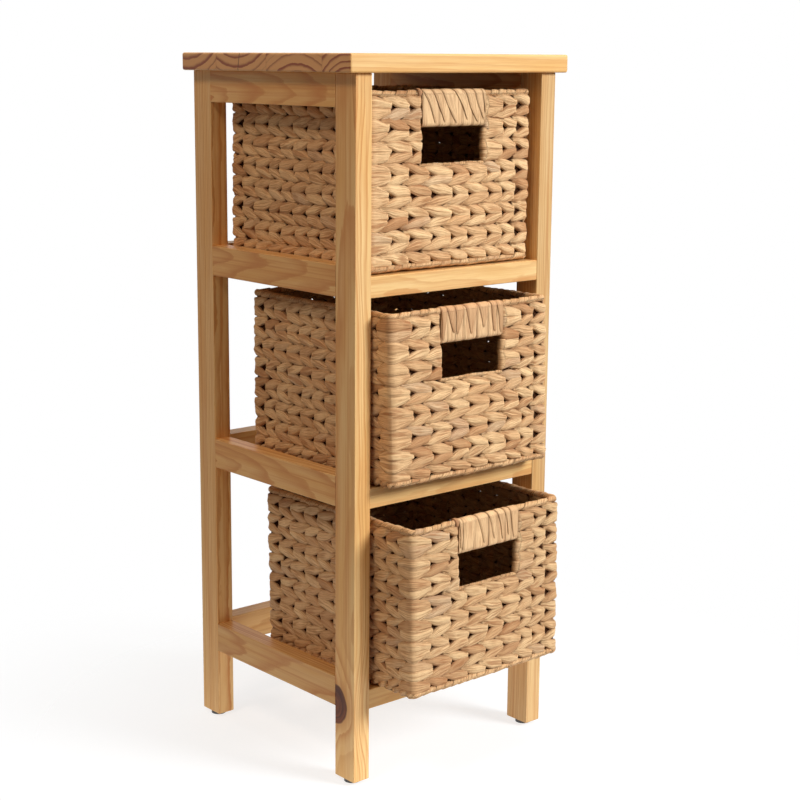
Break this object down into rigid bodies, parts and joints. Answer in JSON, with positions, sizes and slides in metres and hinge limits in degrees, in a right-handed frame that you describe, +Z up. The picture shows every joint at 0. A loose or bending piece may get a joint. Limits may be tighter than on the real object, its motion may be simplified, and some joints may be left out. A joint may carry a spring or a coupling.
{
  "type": "open storage cabinet with baskets",
  "caption": "Tall, narrow open storage cabinet: a pine frame with a solid top and stacked tiers, each holding a woven basket with a hand hole that draws out forwards.",
  "frame": {"origin": "on the floor, at the centre of the whole object's footprint at rest, with the lowest basket drawn out as pictured", "axes": "+Z up, -Y towards someone who faces the baskets, +X to that person's right"},
  "size_m": [0.2866, 0.32, 0.722],
  "materials": {
    "pine": "clear lacquered solid pine, glued up from staves in the top panel",
    "pine_rail": "clear lacquered solid pine battens",
    "beech": "bare beech dowels",
    "zinc": "zinc-plated steel",
    "glide": "dark grey moulded plastic",
    "weave": "twined dried water hyacinth stems",
    "wrap": "water hyacinth stems wrapped over wire",
    "wire": "plain drawn iron wire, hidden in the weave"
  },
  "bodies": {
    "frame": {"top_panel": "pine", "front_left_leg": "pine", "front_right_leg": "pine", "back_left_leg": "pine", "back_right_leg": "pine", "left_top_rail": "pine_rail", "right_top_rail": "pine_rail", "left_upper_rail": "pine_rail", "right_upper_rail": "pine_rail", "left_middle_rail": "pine_rail", "right_middle_rail": "pine_rail", "left_lower_rail": "pine_rail", "right_lower_rail": "pine_rail", "front_upper_rail": "pine_rail", "front_middle_rail": "pine_rail", "front_lower_rail": "pine_rail", "support_upper_rail": "pine_rail", "support_middle_rail": "pine_rail", "support_lower_rail": "pine_rail", "back_upper_rail": "pine_rail", "back_middle_rail": "pine_rail", "back_lower_rail": "pine_rail", "side_dowels": "beech", "cross_dowels": "beech", "top_screws": "zinc", "foot_glides": "glide"},
    "upper_basket": {"upper_basket_walls": "weave", "upper_basket_base": "weave", "upper_basket_top_rim": "wrap", "upper_basket_bottom_rim": "wrap", "upper_basket_grip": "wrap", "upper_basket_wires": "wire"},
    "middle_basket": {"middle_basket_walls": "weave", "middle_basket_base": "weave", "middle_basket_top_rim": "wrap", "middle_basket_bottom_rim": "wrap", "middle_basket_grip": "wrap", "middle_basket_wires": "wire"},
    "lower_basket": {"lower_basket_walls": "weave", "lower_basket_base": "weave", "lower_basket_top_rim": "wrap", "lower_basket_bottom_rim": "wrap", "lower_basket_grip": "wrap", "lower_basket_wires": "wire"}
  },
  "joints": [
    {"name": "upper_basket_slide", "type": "slide", "parent": "frame", "child": "upper_basket", "axis": [0, -1, 0], "range_m": [-0.0095, 0.2485]},
    {"name": "middle_basket_slide", "type": "slide", "parent": "frame", "child": "middle_basket", "axis": [0, -1, 0], "range_m": [-0.0395, 0.2185]},
    {"name": "lower_basket_slide", "type": "slide", "parent": "frame", "child": "lower_basket", "axis": [0, -1, 0], "range_m": [-0.066, 0.192]}
  ]
}
